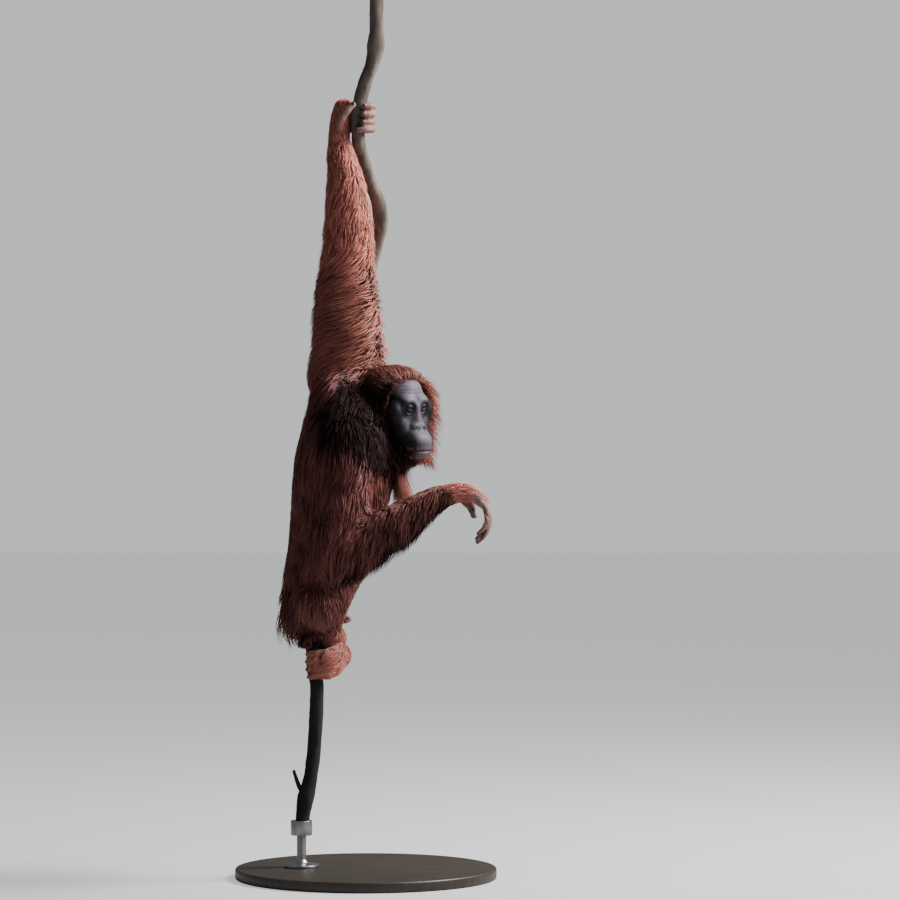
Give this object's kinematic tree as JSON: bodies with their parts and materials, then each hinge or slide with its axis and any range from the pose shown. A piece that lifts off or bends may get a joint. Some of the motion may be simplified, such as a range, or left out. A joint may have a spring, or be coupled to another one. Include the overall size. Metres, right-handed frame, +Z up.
{
  "type": "orangutan on a display stand",
  "caption": "Life-size adult orangutan hanging by one long arm from a length of liana, head turned, feet on the stem, held by a round base and a rod.",
  "frame": {"origin": "centre of the stand's underside", "axes": "+Z up, +X to the side that the free arm reaches to, +Y to the side of the raised arm, away from the viewer"},
  "size_m": [0.68, 0.68, 2.304],
  "materials": {
    "coat": "long shaggy red-brown hair, darker at the roots",
    "face_and_coat": "dark grey bare face with a fringe of red-brown hair",
    "skin": "creased dark skin",
    "eye": "wet dark brown eye",
    "nail": "dull dark nail",
    "bark": "rough ridged bark",
    "stand_board": "satin dark stained wood",
    "stand_steel": "brushed steel"
  },
  "bodies": {
    "root": {"stand_base": "stand_board", "stand_rod": "stand_steel", "stand_socket": "stand_steel", "perch_liana": "bark", "eye_left": "eye", "eye_right": "eye", "head": "face_and_coat", "ear_left": "skin", "ear_right": "skin", "neck": "coat", "trunk": "coat", "upper_arm_left": "coat", "forearm_left": "coat", "hand_left": "skin", "index_finger_left": "skin", "middle_finger_left": "skin", "ring_finger_left": "skin", "little_finger_left": "skin", "thumb_left": "skin", "upper_arm_right": "coat", "forearm_right": "coat", "hand_right": "skin", "index_finger_right": "skin", "middle_finger_right": "skin", "ring_finger_right": "skin", "little_finger_right": "skin", "thumb_right": "skin", "thigh_right": "coat", "shin_right": "coat", "foot_right": "skin", "big_toe_right": "skin", "second_toe_right": "skin", "third_toe_right": "skin", "fourth_toe_right": "skin", "fifth_toe_right": "skin", "thigh_left": "coat", "shin_left": "coat", "foot_left": "skin", "big_toe_left": "skin", "second_toe_left": "skin", "third_toe_left": "skin", "fourth_toe_left": "skin", "fifth_toe_left": "skin"}
  },
  "joints": []
}
